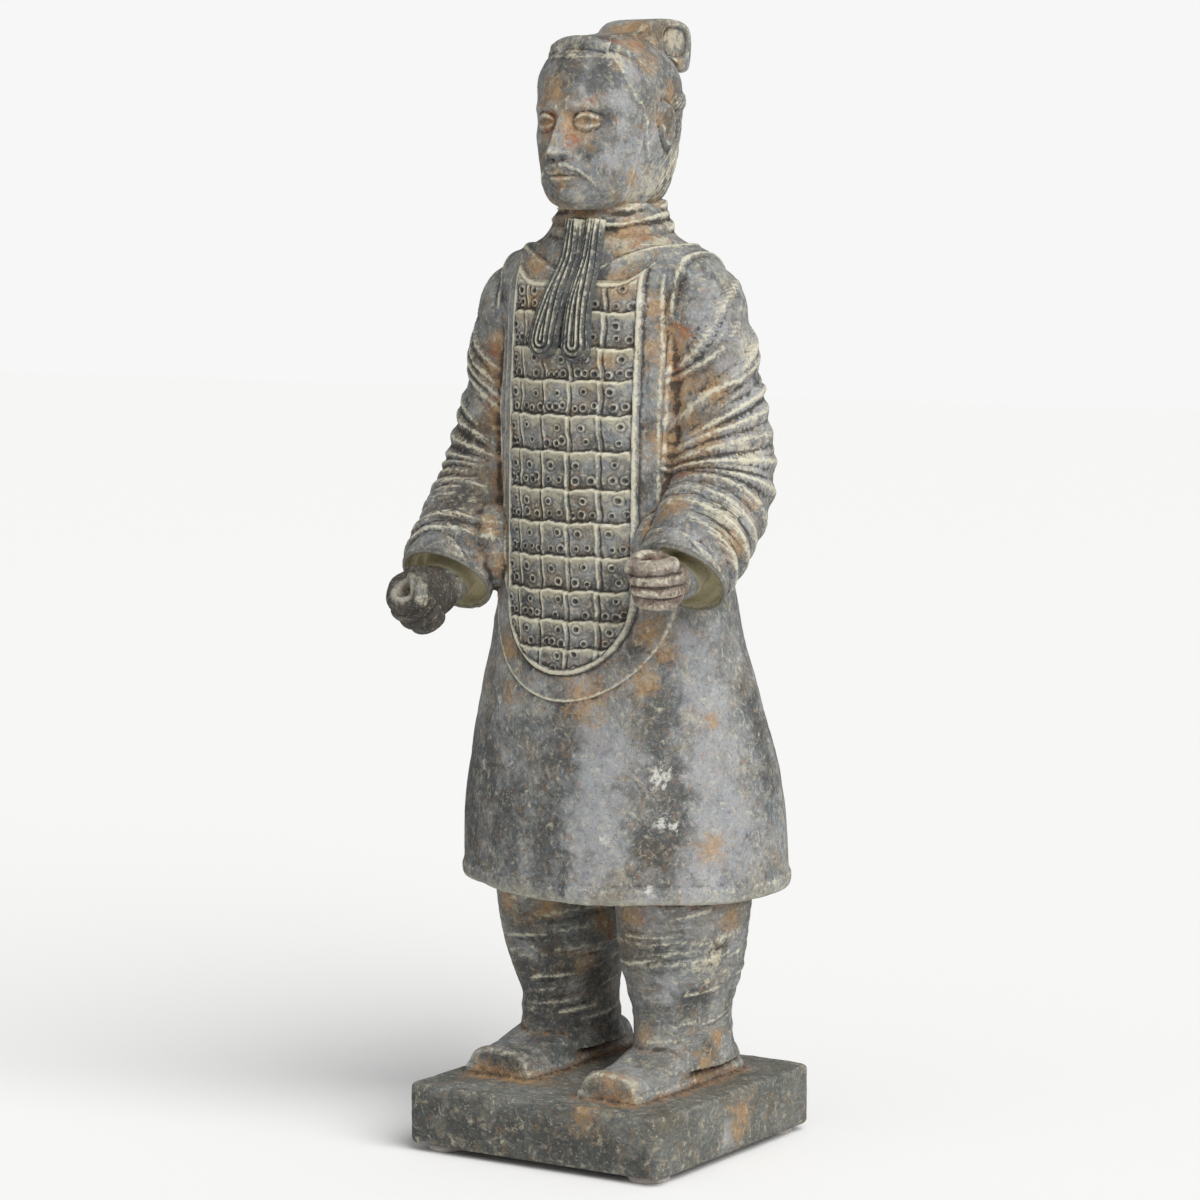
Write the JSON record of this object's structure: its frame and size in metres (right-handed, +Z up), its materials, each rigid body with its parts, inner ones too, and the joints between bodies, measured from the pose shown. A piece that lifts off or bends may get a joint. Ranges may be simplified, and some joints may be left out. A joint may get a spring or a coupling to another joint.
{
  "type": "terracotta warrior statue",
  "caption": "Standing robed officer with plate armour down the front and a long cap, cast in one with a square plinth, resting on stick-on pads.",
  "frame": {"origin": "on the surface the statue stands on, under the middle of the part's outline", "axes": "+Z up, the figure looks along -Y, its own left is on +X"},
  "size_m": [0.1842, 0.1646, 0.542],
  "materials": {
    "cast_clay": "matte slate grey wash over brown clay, ochre in the folds, pale dry-brushed ridges",
    "pad_plastic": "matte translucent grey"
  },
  "bodies": {
    "root": {"warrior_statue": "cast_clay", "pad_front_right": "pad_plastic", "pad_front_left": "pad_plastic", "pad_back_right": "pad_plastic", "pad_back_left": "pad_plastic"}
  },
  "joints": []
}
